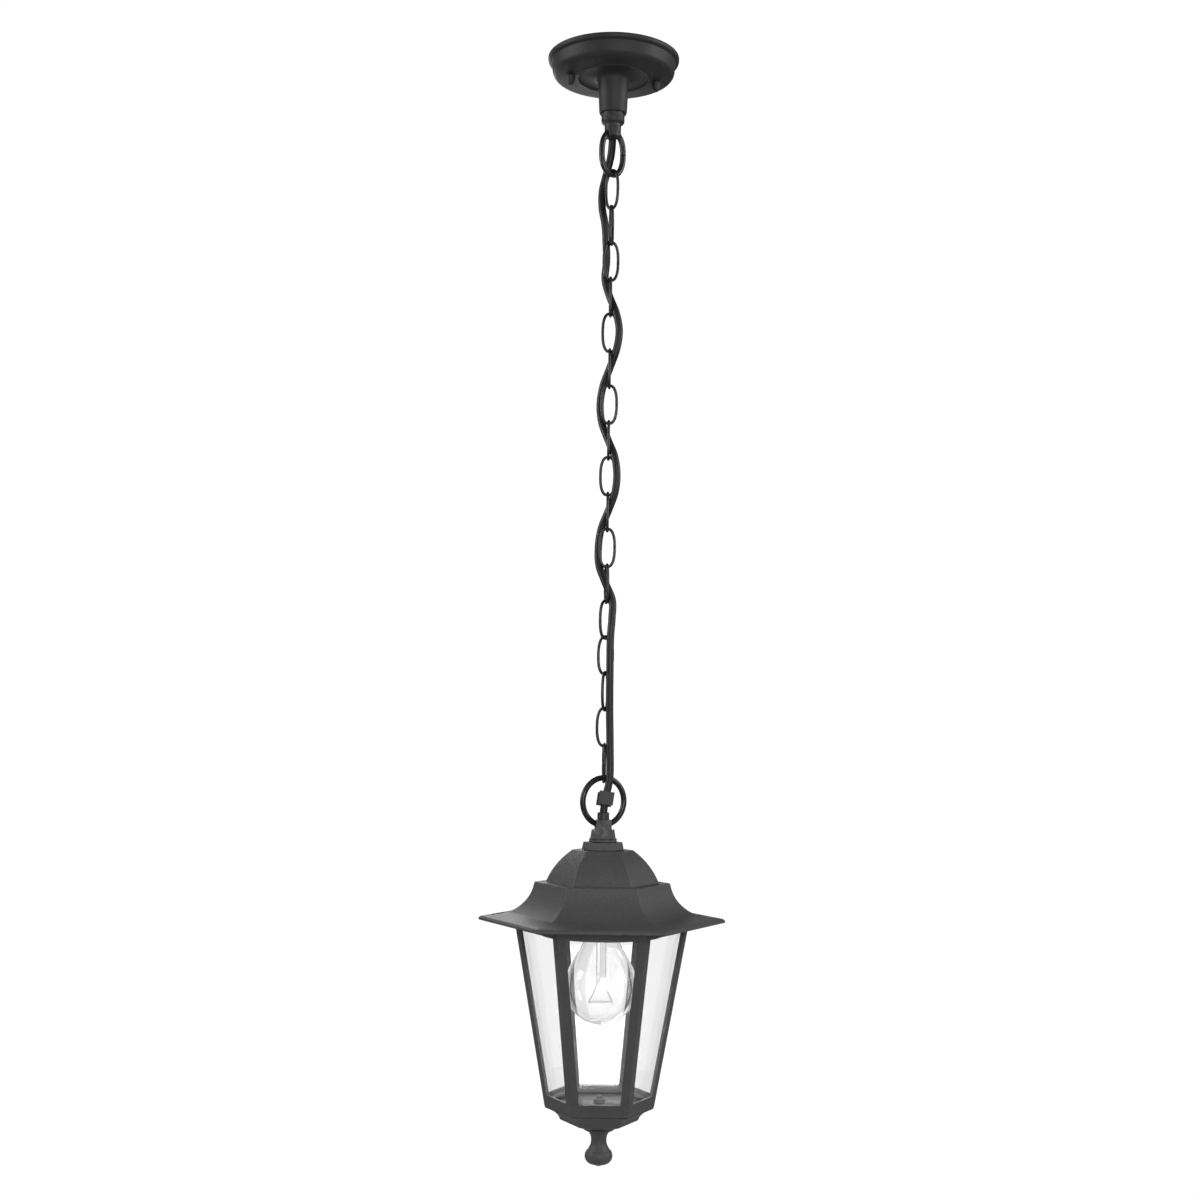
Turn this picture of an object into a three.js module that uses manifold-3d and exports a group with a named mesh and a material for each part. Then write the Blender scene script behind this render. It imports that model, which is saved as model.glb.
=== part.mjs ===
// Hanging lantern: a ceiling canopy, a chain with a cord woven through it, and a six-sided glazed lantern.
// Millimetres, +Z up. The ceiling is the plane z = 0 and everything hangs below it round the Z axis.
// The six-sided pieces have a corner on +X and a flat side facing -Y, the front.

import * as THREE from "three";
import { mergeVertices } from "three/addons/utils/BufferGeometryUtils.js";
import Module from "manifold-3d";

const wasm = await Module();
wasm.setup();

// ---- Driving dimensions ----

const gap = 0.3; // between pieces that touch, screw together or rest on each other
const screwGap = 0.4; // round a screw or stud in its hole
const hexTilt = Math.cos(Math.PI / 6); // a hexagon's flat-to-centre distance over its corner-to-centre one

// Ceiling end
const bracketLength = 90;
const bracketWidth = 22;
const bracketThickness = 2.6;
const bracketTurn = 10; // degrees
const studSpacing = 72;
const studRadius = 2;
const canopyRadius = 54.2;
const canopyWall = 1.6;
const canopyDepth = 16.2;
const stemTopRadius = 12.6;
const stemBottomRadius = 10.9;
const stemEnd = -46;
const stemBore = 9.5;
const terminalBlock = { width: 28, depth: 16, height: 8 };

// Eye under the canopy, and the loop in it
const collarHeight = 7.6;
const eyeRadius = 6.9;
const eyeLength = 11.6;
const eyeFloor = 2.4; // metal under the loop's hole
const loopWire = 4.9; // diameter
const loopHeight = 40.3;
const loopWidth = 25.1;
const loopTurn = 30;
const loopSwing = 20; // degrees each way

// Chain
const linkWire = 2.45; // diameter
const linkPitch = 29.7;
const linkWidth = 15.05;
const linkTurns = [-40, 80, 20, 88, 15, 90, 0, 90, 0, 90, 0, 100, 40, -20, 70, 10, 95]; // degrees, top to bottom

// Cord
const cordRadius = 3.15;
const cordGap = 0.4; // round the cord where it passes through metal

// Ring and the hanger on the lantern
const ringWire = 4.8; // diameter
const ringWidth = 44;
const ringTurn = 30;
const lanternSwing = 20; // degrees each way
const hangerTop = 2; // metal over the ring's wire
const lugRadius = 7.15;
const hangerBlock = { top: 19, bottom: 21, height: 6.7 };
const washerRadius = 11.5;
const washerHeight = 2.7;
const collarHex = { top: 32.5, bottom: 35, height: 6.2 }; // across corners
const spigotRadius = 3;
const spigotBack = 5; // how far the spigot stands behind the axis, to leave the cord its way
const cordFront = 7; // how far the cord enters in front of the axis
const bushRadius = 4.85;
const bushHeight = 6;

// Roof
const roofWidth = 205; // across the corners of the eave
const domeHeight = 27;
const domeTopRadius = 25.6;
const domeFootRadius = 47.3;
const ledgeRadius = 56.4;
const roofWall = 2.4;
const eaveThickness = 2.5;
const eaveBand = 11.4; // width of the raised band round the eave

// Cage, glass and tray
const cageTopRadius = 73.2;
const cageFootRadius = 45.4;
const cageHeight = 158.2;
const cageWall = 2.4;
const postLeg = 6.8;
const topRail = 12;
const bottomRail = 10.2;
const glassThickness = 2;
const paneLedge = 4.5;
const cageFlange = 2.2;
const cageMouth = 46;
const screwCircle = 54; // radius on which three screws join the roof, cage and lampholder plate
const trayFloorThickness = 1.6;
const trayWall = 2.2;
const trayDepth = 17;
const finialDrop = 32.5;

// Lamp
const plateRadius = 57;
const plateWall = 1.5;
const plateDrop = 13;
const holderRadius = 18;
const holderLength = 45;
const holderCapHeight = 14.85;
const bulbBelowHolderTop = 15; // how far down inside the holder the lamp's tip stands
const cordBelowHolderTop = 7;
const contactBlockRise = 6; // above the split between the holder's cap and skirt
const bulbCapRadius = 13.1;
const bulbRadius = 30;
const bulbLength = 106;
const bulbWall = 0.8;

// ---- Places worked out from the sizes ----

const eyeTop = stemEnd - gap - collarHeight;
const eyeBottom = eyeTop - eyeLength;
const loopAxis = eyeBottom + eyeFloor + loopWire / 2; // centre of the loop's top wire
const loopFoot = loopAxis - (loopHeight - loopWire); // centre of its bottom wire
const linkHeight = linkPitch + linkWire + gap; // between the centres of a link's two end wires
const chainTop = loopFoot + loopWire / 2 + linkWire / 2 + gap;
const linkTop = (n) => chainTop - n * linkPitch; // n counts from 0
const chainFoot = linkTop(linkTurns.length - 1) - linkHeight;
const ringTop = chainFoot + linkWire / 2 + ringWire / 2 + gap;
const ringFoot = ringTop - (ringWidth - ringWire);
const lugTop = ringFoot + ringWire / 2 + gap + hangerTop;
const blockTop = ringFoot - 4;
const blockBottom = blockTop - hangerBlock.height;
const washerTop = blockBottom - gap;
const collarTop = washerTop - washerHeight - gap;
const roofTop = collarTop - collarHex.height - gap;
const ledgeTop = roofTop - domeHeight;
const cageTop = roofTop - 54.7;
const cageFoot = cageTop - cageHeight;
const plateTop = cageTop - cageFlange - gap;
const plateFloor = plateTop - plateDrop;
const holderFoot = plateFloor + plateWall + gap;
const holderTop = holderFoot + holderLength;
const holderSplit = holderTop - holderCapHeight;
const bulbTop = holderTop - bulbBelowHolderTop;
const bulbFoot = bulbTop - bulbLength;
const trayFloorTop = cageFoot + 3;
const trayTop = trayFloorTop - trayFloorThickness - gap;
const trayFoot = cageFoot - trayDepth;

// ---- Shared helpers ----

const roundSides = 40;
const smallSides = 16;
const radians = THREE.MathUtils.degToRad;

// A turned piece from its half outline of [radius, z] points; with sides = 6 it is a hexagon across corners.
function turned(outline, sides = roundSides) {
  const points = outline.map(([radius, z]) => new THREE.Vector2(radius, z));
  if (outline[0][0] > 0) {
    points.push(points[0].clone());
  }
  if (THREE.ShapeUtils.area(points) < 0) {
    points.reverse();
  }
  return new THREE.LatheGeometry(points, sides, Math.PI / 2).rotateX(Math.PI / 2);
}

function rod(radius, top, bottom, sides = smallSides) {
  return turned([[0, top], [radius, top], [radius, bottom], [0, bottom]], sides);
}

function box(width, depth, top, bottom) {
  return new THREE.BoxGeometry(width, depth, top - bottom).translate(0, 0, (top + bottom) / 2);
}

// A flat shape in the XZ plane, pushed along Y from the first value to the second.
function plateAcross(points, fromY, toY) {
  const shape = new THREE.Shape(points.map(([x, z]) => new THREE.Vector2(x, z)));
  const plate = new THREE.ExtrudeGeometry(shape, { depth: toY - fromY, bevelEnabled: false });
  return plate.rotateX(Math.PI / 2).translate(0, toY, 0);
}

// A closed oval of wire standing in the XZ plane, at x = 0, with the centre of its top wire at the given height.
function wireOval(width, top, bottom, wireRadius, squareness, steps, sides) {
  const middle = (top + bottom) / 2;
  const outline = [];
  for (let i = 0; i < 48; i++) {
    const angle = (i / 48) * 2 * Math.PI;
    const c = Math.cos(angle);
    const s = Math.sin(angle);
    const x = (width / 2) * Math.sign(c) * Math.abs(c) ** (2 / squareness);
    const z = ((top - bottom) / 2) * Math.sign(s) * Math.abs(s) ** (2 / squareness);
    outline.push(new THREE.Vector3(x, 0, middle + z));
  }
  const path = new THREE.CatmullRomCurve3(outline, true);
  const positions = [];
  const faces = [];
  const across = new THREE.Vector3(0, 1, 0);
  for (let i = 0; i < steps; i++) {
    const centre = path.getPointAt(i / steps);
    const outward = new THREE.Vector3().crossVectors(across, path.getTangentAt(i / steps));
    for (let j = 0; j < sides; j++) {
      const angle = ((j + 0.5) / sides) * 2 * Math.PI;
      const point = centre.clone();
      point.addScaledVector(outward, wireRadius * Math.cos(angle));
      point.addScaledVector(across, wireRadius * Math.sin(angle));
      positions.push(point.x, point.y, point.z);
      const next = (j + 1) % sides;
      const ahead = (i + 1) % steps;
      faces.push(i * sides + j, i * sides + next, ahead * sides + next);
      faces.push(i * sides + j, ahead * sides + next, ahead * sides + j);
    }
  }
  const oval = new THREE.BufferGeometry();
  oval.setAttribute("position", new THREE.Float32BufferAttribute(positions, 3));
  oval.setIndex(faces);
  return oval;
}

function toSolid(geometry) {
  const bare = geometry.clone();
  bare.deleteAttribute("normal");
  bare.deleteAttribute("uv");
  const merged = mergeVertices(bare, 1e-4);
  const mesh = new wasm.Mesh({
    numProp: 3,
    vertProperties: merged.attributes.position.array,
    triVerts: new Uint32Array(merged.index.array),
  });
  return new wasm.Manifold(mesh);
}

function toGeometry(solid) {
  const mesh = solid.getMesh();
  const geometry = new THREE.BufferGeometry();
  geometry.setAttribute("position", new THREE.BufferAttribute(mesh.vertProperties, 3));
  geometry.setIndex(new THREE.BufferAttribute(mesh.triVerts, 1));
  return geometry;
}

function joined(...geometries) {
  return toGeometry(geometries.map(toSolid).reduce((whole, piece) => whole.add(piece)));
}

function cut(geometry, ...cutters) {
  return toGeometry(cutters.map(toSolid).reduce((rest, cutter) => rest.subtract(cutter), toSolid(geometry)));
}

function common(first, second) {
  return toGeometry(toSolid(first).intersect(toSolid(second)));
}

// The space that an oval of wire sweeps as it swings about the level line through one of its end wires.
function swungOval(oval, axisHeight, swing) {
  return [-1, -0.5, 0, 0.5, 1].map((share) => {
    const swung = oval.clone().translate(0, 0, -axisHeight);
    return swung.rotateX(radians(share * swing)).translate(0, 0, axisHeight);
  });
}

// ---- Materials ----

function finish(color, roughness, metalness = 0) {
  return () => new THREE.MeshStandardMaterial({ color, roughness, metalness });
}

const powderCoat = finish(0x2c2d2e, 0.55, 0.2);
const blackWire = finish(0x101011, 0.4, 0.5);
const cordSheath = finish(0x0d0d0e, 0.5);
const zincSteel = finish(0x9a9c9e, 0.35, 0.9);
const brass = finish(0xb08d4a, 0.3, 0.9);
const aluminium = finish(0xb9bbbd, 0.3, 0.9);
const blackPlastic = finish(0x161617, 0.45);
const whiteCeramic = finish(0xe9e6de, 0.4);

function clearGlass() {
  const glass = new THREE.MeshStandardMaterial({ color: 0xf4f8f8, roughness: 0.05 });
  glass.transparent = true;
  glass.opacity = 0.25;
  return glass;
}

const lantern = new THREE.Group();
lantern.name = "hanging_lantern";

function add(name, geometry, material) {
  const mesh = new THREE.Mesh(geometry, material());
  mesh.name = name;
  lantern.add(mesh);
  return mesh;
}

// ---- Cord ----
// Its route down the chain is a list chosen by hand: links passed, then where it lies beside the chain's axis.

const cordWeave = [
  [-0.5, -1.2, 7.3], [0, -4.6, 7.8], [0.5, -7.9, 7.6], [1, -7.9, 4.9], [1.5, -5.3, 2.3], [2, -4.2, 3.4],
  [2.5, -3.7, 4.4], [3, -4.7, 3.6], [3.5, -0.9, 0.4], [4, 4.8, -3.4], [4.5, 7.6, -4.9], [5, 5.7, -3.9],
  [5.5, 0.4, -0.2], [6, -5.2, 4], [6.5, -7.4, 5.2], [7, -5.9, 4.5], [7.5, -0.6, 0.5], [8, 5.2, -4],
  [8.5, 7.3, -5.2], [9, 5.9, -4.5], [9.5, 0.6, -0.4], [10, -5.2, 4.1], [10.5, -7.2, 5.2], [11, -6.5, 4.2],
  [11.5, -1, 0.5], [12, 5, -2.5], [12.5, 4.9, -4.9], [13, 3.9, -6.1], [14, 3.8, -6.2], [15, 4, -5.4],
  [16, 4.7, -5.6], [17, 4.7, -6.3], [17.5, 1.6, -6.8],
];

const cordPoints = [
  [0, 4.2, -bracketThickness - gap - terminalBlock.height - 0.8],
  [0, 4.2, -26],
  [0, 4.4, stemEnd + 6],
  [0, 5.9, eyeTop],
  [0, 6.9, eyeTop - 7],
  ...cordWeave.map(([links, x, y]) => [x, y, chainTop - links * linkPitch]),
  [0, -cordFront, ringFoot + 8],
  [0, -cordFront, blockTop],
  [0, -cordFront, washerTop],
  [0, -6.8, roofTop + 4.5],
  [0, -5.8, roofTop - 1.5],
  [0, -3.5, roofTop - 8],
  [0, -1.2, roofTop - 14.5],
  [0, -0.2, holderTop + 4.5],
  [0, 0, holderTop - 1],
  [0, 0, holderTop - cordBelowHolderTop],
];

const cordPath = new THREE.CatmullRomCurve3(
  cordPoints.map(([x, y, z]) => new THREE.Vector3(x, y, z)),
  false,
  "centripetal",
);

function tube(path, radius, steps, sides) {
  const section = new THREE.Shape();
  for (let i = 0; i < sides; i++) {
    const angle = (i / sides) * 2 * Math.PI;
    const point = [radius * Math.cos(angle), radius * Math.sin(angle)];
    if (i === 0) {
      section.moveTo(...point);
    } else {
      section.lineTo(...point);
    }
  }
  return new THREE.ExtrudeGeometry(section, { steps, extrudePath: path, bevelEnabled: false });
}

const cordSteps = 116;
const cordHole = tube(cordPath, cordRadius + cordGap, cordSteps, 10);

add("mains_cord", tube(cordPath, cordRadius, cordSteps, 8), cordSheath);

// ---- Ceiling bracket, its studs and the terminal block ----

function addCeilingBracket() {
  const slotRadius = 2.6;
  const slotLength = 12;
  const slotPlace = 19;
  let strap = cut(
    box(bracketLength, bracketWidth, 0, -bracketThickness),
    rod(studRadius + screwGap, 1, -10).translate(studSpacing / 2, 0, 0),
    rod(studRadius + screwGap, 1, -10).translate(-studSpacing / 2, 0, 0),
  );
  for (const side of [-1, 1]) {
    const slot = joined(
      rod(slotRadius, 1, -10).translate(-slotLength / 2, 0, 0),
      rod(slotRadius, 1, -10).translate(slotLength / 2, 0, 0),
      box(slotLength, slotRadius * 2, 1, -10),
    );
    strap = cut(strap, slot.translate(side * slotPlace, 0, 0));
  }
  add("ceiling_bracket", strap.rotateZ(radians(bracketTurn)), zincSteel);
}

const canopyFaceAtStud = -canopyDepth;
const capNutHeight = 8;
const studBelowCanopy = 4;

function capNut() {
  const top = canopyFaceAtStud - gap;
  const body = turned([
    [0, top], [3.7, top], [3.8, top - 1.2], [3.4, top - 2.4], [3.2, top - 4.6], [2.4, top - capNutHeight + 1.2],
    [1.4, top - capNutHeight + 0.3], [0, top - capNutHeight],
  ], smallSides);
  return cut(body, rod(studRadius + screwGap, top + 1, canopyFaceAtStud - studBelowCanopy - gap - 0.3, 12));
}

function addStuds() {
  for (const [side, label] of [[-1, "left"], [1, "right"]]) {
    const place = (geometry) =>
      geometry.translate((side * studSpacing) / 2, 0, 0).rotateZ(radians(bracketTurn));
    add(`stud_${label}`, place(rod(studRadius, -gap, canopyFaceAtStud - studBelowCanopy, 12)), zincSteel);
    add(`cap_nut_${label}`, place(capNut()), powderCoat);
  }
}

function addTerminalBlock() {
  const top = -bracketThickness - gap;
  const body = box(terminalBlock.width, terminalBlock.depth, top, top - terminalBlock.height);
  const wireHoles = [-1, 0, 1].map((n) =>
    rod(1.7, top - 3, top - 20, 10).translate(n * 8.5, 0, 0),
  );
  add("terminal_block", cut(body, ...wireHoles).translate(0, 4.2, 0), whiteCeramic);
}

// ---- Canopy: a cast cup on the ceiling with a hollow stem ----

function addCanopy() {
  const r = canopyRadius;
  const outline = [
    [r, 0], [r, -1.8], [r - 1, -3.6], [r - 2.9, -4.4], [r - 3.2, -5], [r - 3.6, -11], [r - 4.4, -13.4],
    [r - 6.2, -15.2], [r - 8.8, -15.9], [r - 23.6, -canopyDepth], [r - 24.2, -canopyDepth - 0.8],
    [r - 25.4, -canopyDepth - 0.8], [r - 25.8, -canopyDepth],
    [stemTopRadius + 4, -canopyDepth - 0.6], [stemTopRadius + 1, -canopyDepth - 2],
    [stemTopRadius, -canopyDepth - 5], [stemBottomRadius + 0.6, stemEnd + 1.6], [stemBottomRadius, stemEnd],
    [stemBore, stemEnd], [stemBore, -canopyDepth - 3], [stemBore + 2.5, -canopyDepth + canopyWall],
    [r - 24, -canopyDepth + canopyWall], [r - 9, -canopyDepth + canopyWall + 0.6], [r - 6, -11.5],
    [r - 5, -6], [r - canopyWall - 2, -3], [r - canopyWall - 1, 0],
  ];
  const holes = [-1, 1].map((side) =>
    rod(studRadius + screwGap, 0, -30, 12)
      .translate((side * studSpacing) / 2, 0, 0)
      .rotateZ(radians(bracketTurn)),
  );
  add("canopy", cut(turned(outline, 36), ...holes), powderCoat);
}

// ---- Eye screwed into the stem, with the loop through it ----

function loopOval(extra) {
  const radius = loopWire / 2 + extra;
  return wireOval(loopWidth - loopWire, loopAxis, loopFoot, radius, 2.3, 28, 8);
}

function addEyeAndLoop() {
  const plugRadius = stemBore - gap;
  const body = turned([
    [0, stemEnd + 10], [plugRadius, stemEnd + 10], [plugRadius, stemEnd - gap], [9.6, stemEnd - gap],
    [9.6, eyeTop + 1.2], [8.8, eyeTop], [eyeRadius + 0.6, eyeTop - 0.4], [eyeRadius, eyeTop - 1.2],
    [eyeRadius - 0.2, eyeBottom + 0.6], [eyeRadius - 1, eyeBottom], [0, eyeBottom],
  ], 32);
  const swept = swungOval(loopOval(gap), loopAxis, loopSwing);
  add("hook_eye", cut(body, ...swept.map((oval) => oval.rotateZ(radians(loopTurn))), cordHole), powderCoat);
  add("top_loop", loopOval(0).rotateZ(radians(loopTurn)), blackWire);
}

// ---- Chain ----

function addChain() {
  linkTurns.forEach((turn, n) => {
    const top = linkTop(n);
    const link = wireOval(linkWidth - linkWire, top, top - linkHeight, linkWire / 2, 2.5, 22, 6);
    add(`chain_link_${String(n + 1).padStart(2, "0")}`, link.rotateZ(radians(turn)), blackWire);
  });
}

// ---- Ring, and the cord grip inside it ----

function ringOval(extra) {
  return wireOval(ringWidth - ringWire, ringTop, ringFoot, ringWire / 2 + extra, 2, 36, 8);
}

function addRing() {
  add("hanging_ring", ringOval(0).rotateZ(radians(ringTurn)), blackWire);
}

function addCordGrip() {
  const lean = 8; // degrees, as the cord leans there
  const middle = ringTop - 17.2;
  const cordHere = { x: 1.7, y: -6.7 };
  const tilt = (geometry) =>
    geometry.rotateY(radians(lean)).translate(cordHere.x, cordHere.y, middle);
  const front = box(12.4, 5.2, 6.4, -4.4).translate(0.4, -2.6 - gap / 2, 0);
  const back = box(12.4, 5.2, 4.6, -6.2).translate(-0.9, 2.6 + gap / 2, 0);
  add("cord_grip_front", cut(tilt(front), cordHole), blackPlastic);
  add("cord_grip_back", cut(tilt(back), cordHole), blackPlastic);
}

// ---- Hanger bolted through the roof ----

function addHanger() {
  const block = turned([
    [0, blockTop], [hangerBlock.top / Math.SQRT2, blockTop], [hangerBlock.bottom / Math.SQRT2, blockBottom],
    [0, blockBottom],
  ], 4).rotateZ(Math.PI / 4);
  const frontBoss = rod(bushRadius + 1.2, lugTop, blockBottom, 20).translate(0, -cordFront, 0);
  const lug = turned([
    [0, lugTop], [lugRadius - 1.4, lugTop], [lugRadius, lugTop - 1.4], [lugRadius, blockBottom], [0, blockBottom],
  ], 24);
  const spigot = rod(spigotRadius, blockBottom + 1, roofTop - 9).translate(0, spigotBack, 0);
  const swept = swungOval(ringOval(gap), ringFoot, lanternSwing).map((oval) => oval.rotateZ(radians(ringTurn)));
  const body = joined(block, frontBoss, lug, spigot);
  add("hanger", cut(body, ...swept, cordHole), powderCoat);

  const bushBottom = lugTop + gap;
  const bushTop = bushBottom + bushHeight;
  const bush = turned([
    [0, bushTop], [bushRadius - 0.6, bushTop], [bushRadius, bushTop - 0.8], [bushRadius, bushBottom],
    [0, bushBottom],
  ], 20);
  add("cord_bush", cut(bush.translate(0, -cordFront, 0), ...swept, cordHole), blackPlastic);

  const spigotHole = rod(spigotRadius + screwGap, washerTop + 5, roofTop - 20).translate(0, spigotBack, 0);
  const washer = rod(washerRadius, washerTop, washerTop - washerHeight, 32);
  add("roof_washer", cut(washer, spigotHole, cordHole), powderCoat);

  const collar = turned([
    [0, collarTop], [collarHex.top / 2, collarTop], [collarHex.bottom / 2, collarTop - collarHex.height],
    [0, collarTop - collarHex.height],
  ], 6);
  add("roof_collar", cut(collar, spigotHole, cordHole), powderCoat);

  const nutTop = roofTop - roofWall - gap;
  const nut = turned([[0, nutTop], [5.8, nutTop], [5.8, nutTop - 4.2], [0, nutTop - 4.2]], 6);
  add("hanger_nut", cut(nut.translate(0, spigotBack, 0), spigotHole), zincSteel);
}

// ---- Roof: one six-sided casting, dome, ledge and swept eave ----

const bossAngles = [30, 150, 270];
const screwRadius = 1.7;

function onScrewCircle(geometry, angle) {
  return geometry.translate(screwCircle, 0, 0).rotateZ(radians(angle));
}

function domeCurve(inset) {
  const rise = domeHeight;
  const points = [[domeTopRadius, 0], [34.9, 0.3], [42.6, 0.667], [domeFootRadius, 1]];
  return new THREE.SplineCurve(
    points.map(([radius, share]) => new THREE.Vector2(radius - inset, roofTop - share * rise)),
  );
}

function addRoof() {
  const eaveRadius = roofWidth / 2;
  const top = ledgeTop;
  const skirt = [
    [ledgeRadius, top], [ledgeRadius + 1.7, top - 6], [ledgeRadius + 4.1, top - 11.2],
    [ledgeRadius + 7.8, top - 16.2], [ledgeRadius + 13.2, top - 21], [ledgeRadius + 19.4, top - 24.6],
    [ledgeRadius + 25.6, top - 26.6], [eaveRadius - eaveBand, top - 28.4],
    [eaveRadius - eaveBand + 0.8, top - 27.6], [eaveRadius - 0.6, top - 29.2], [eaveRadius, top - 29.8],
  ];
  const underside = [
    [eaveRadius, top - 29.8 - eaveThickness], [eaveRadius - 6, top - 29.2 - eaveThickness],
    [ledgeRadius + 24.4, top - 26.8 - roofWall], [ledgeRadius + 17.4, top - 24.8 - roofWall],
    [ledgeRadius + 10.8, top - 20.6 - roofWall], [ledgeRadius + 5.2, top - 15.4 - roofWall],
    [ledgeRadius + 1.5, top - 10 - roofWall], [ledgeRadius - roofWall, top - 5],
    [ledgeRadius - roofWall, top - roofWall], [domeFootRadius - roofWall, top - roofWall],
  ];
  const dome = domeCurve(0).getPoints(8).map((p) => [p.x, p.y]);
  const domeInside = domeCurve(roofWall * 1.15)
    .getPoints(6)
    .map((p) => [p.x, p.y])
    .filter(([, z]) => z < roofTop - roofWall - 0.5)
    .reverse();
  const ceiling = [[domeInside.at(-1)[0] - 5, roofTop - roofWall], [0, roofTop - roofWall]];
  const shell = turned([[0, roofTop], ...dome, ...skirt, ...underside, ...domeInside, ...ceiling], 6);
  const filled = turned([[0, roofTop], ...dome, ...skirt, [0, top - 29.8]], 6);
  const bosses = bossAngles.map((angle) =>
    common(onScrewCircle(rod(4.2, top - 5, cageTop + gap, 12), angle), filled),
  );
  const bossHoles = bossAngles.map((angle) =>
    onScrewCircle(rod(screwRadius + gap, cageTop + 8.6, cageTop - 5, 10), angle),
  );
  const spigotHole = rod(spigotRadius + screwGap, roofTop + 5, roofTop - 20).translate(0, spigotBack, 0);
  const roof = cut(joined(shell, ...bosses), ...bossHoles, spigotHole, cordHole);
  add("roof", roof, powderCoat);
}

// ---- Cage: one casting of six angle posts between two rails ----

function cageRadius(z) {
  return cageTopRadius + ((z - cageTop) / cageHeight) * (cageTopRadius - cageFootRadius);
}

const insideRadius = (z) => cageRadius(z) - cageWall / hexTilt;
const glassOutRadius = (z) => insideRadius(z) - gap / hexTilt;
const glassInRadius = (z) => glassOutRadius(z) - glassThickness / hexTilt;
const ledgeZ = cageFoot + 6.4; // top of the ledge that the panes stand on
const faceAngles = [0, 60, 120, 180, 240, 300]; // turned from the front face

function addCage() {
  const shell = turned([
    [cageRadius(cageTop), cageTop], [cageRadius(cageFoot), cageFoot], [insideRadius(cageFoot), cageFoot],
    [insideRadius(ledgeZ - 2), ledgeZ - 2], [insideRadius(ledgeZ - 2) - paneLedge, ledgeZ - 2],
    [insideRadius(ledgeZ) - paneLedge, ledgeZ], [insideRadius(ledgeZ), ledgeZ],
    [insideRadius(cageTop - cageFlange), cageTop - cageFlange], [cageMouth, cageTop - cageFlange],
    [cageMouth, cageTop],
  ], 6);
  const windowTop = cageTop - topRail;
  const windowFoot = cageFoot + bottomRail;
  const half = (z) => cageRadius(z) / 2 - postLeg;
  const windows = faceAngles.map((angle) =>
    plateAcross(
      [
        [-half(windowTop), windowTop], [-half(windowFoot), windowFoot],
        [half(windowFoot), windowFoot], [half(windowTop), windowTop],
      ],
      -90,
      -20,
    ).rotateZ(radians(angle)),
  );
  const screwHoles = bossAngles.map((angle) =>
    onScrewCircle(rod(screwRadius + screwGap, cageTop + 2, cageTop - 5, 10), angle),
  );
  add("cage", cut(shell, ...windows, ...screwHoles), powderCoat);
}

// ---- Six glass panes standing on the cage's ledge, behind its posts ----

function addPanes() {
  const top = plateTop - 0.6;
  const foot = ledgeZ + gap;
  const glazing = turned([
    [glassOutRadius(top), top], [glassOutRadius(foot), foot], [glassInRadius(foot), foot],
    [glassInRadius(top), top],
  ], 6);
  const half = (z) => glassInRadius(z) / 2 - gap / 2;
  faceAngles.forEach((angle, n) => {
    const wedge = plateAcross(
      [[-half(top), top + 1], [-half(foot), foot - 1], [half(foot), foot - 1], [half(top), top + 1]],
      -90,
      -20,
    ).rotateZ(radians(angle));
    add(`glass_pane_${n + 1}`, common(glazing, wedge), clearGlass);
  });
}

// ---- Lampholder plate: a dished pan screwed up under the roof with the cage ----

function addLampholderPlate() {
  const pan = turned([
    [plateRadius, plateTop], [plateRadius, plateTop - plateWall], [plateRadius - 6, plateTop - plateWall],
    [plateRadius - 7.5, plateFloor], [20, plateFloor], [20, plateFloor + plateWall],
    [plateRadius - 8.8, plateFloor + plateWall], [plateRadius - 7.4, plateTop],
  ], 36);
  const holes = bossAngles.map((angle) =>
    onScrewCircle(rod(screwRadius + gap, plateTop + 2, plateTop - 5, 10), angle),
  );
  add("lampholder_plate", cut(pan, ...holes), powderCoat);
  bossAngles.forEach((angle, n) => {
    const headTop = plateTop - plateWall - gap;
    const screw = turned([
      [0, cageTop + 7.6], [screwRadius, cageTop + 7.6], [screwRadius, headTop], [2.8, headTop],
      [2.6, headTop - 1.6], [1.8, headTop - 2.1], [0, headTop - 2.1],
    ], 12);
    add(`roof_screw_${n + 1}`, onScrewCircle(screw, angle), zincSteel);
  });
}

// ---- Lampholder and its inside ----

function addLampholder() {
  const r = holderRadius;
  const cordWay = cordRadius + cordGap;
  add("lampholder_cap", turned([
    [cordWay, holderTop + 3], [cordWay + 3, holderTop + 3], [cordWay + 3.4, holderTop], [r - 3, holderTop - 3],
    [r, holderTop - 8], [r, holderSplit + gap], [r - 1.8, holderSplit + gap], [r - 1.8, holderTop - 8.6],
    [r - 4, holderTop - 4.8], [cordWay, holderTop - 2],
  ], 32), blackPlastic);
  const bore = bulbCapRadius + screwGap;
  add("lampholder_skirt", turned([
    [r, holderSplit], [r, holderFoot + 3.6], [r + 4.6, holderFoot + 2.6], [r + 5.4, holderFoot],
    [bore + 1.4, holderFoot], [bore, holderFoot + 3], [bore, holderSplit],
  ], 32), blackPlastic);
  const blockTopZ = holderSplit + contactBlockRise;
  const blockFoot = bulbTop + 1.6;
  add("contact_block", turned([
    [0, blockTopZ], [r - 2.2, blockTopZ], [r - 2.2, blockFoot + 1.4], [bore - 0.6, blockFoot], [0, blockFoot],
  ], 24), whiteCeramic);
  add("centre_contact", rod(3, blockFoot - gap, bulbTop + gap, 12), brass);
}

// ---- Bulb: a clear pear lamp hanging cap up ----

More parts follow.
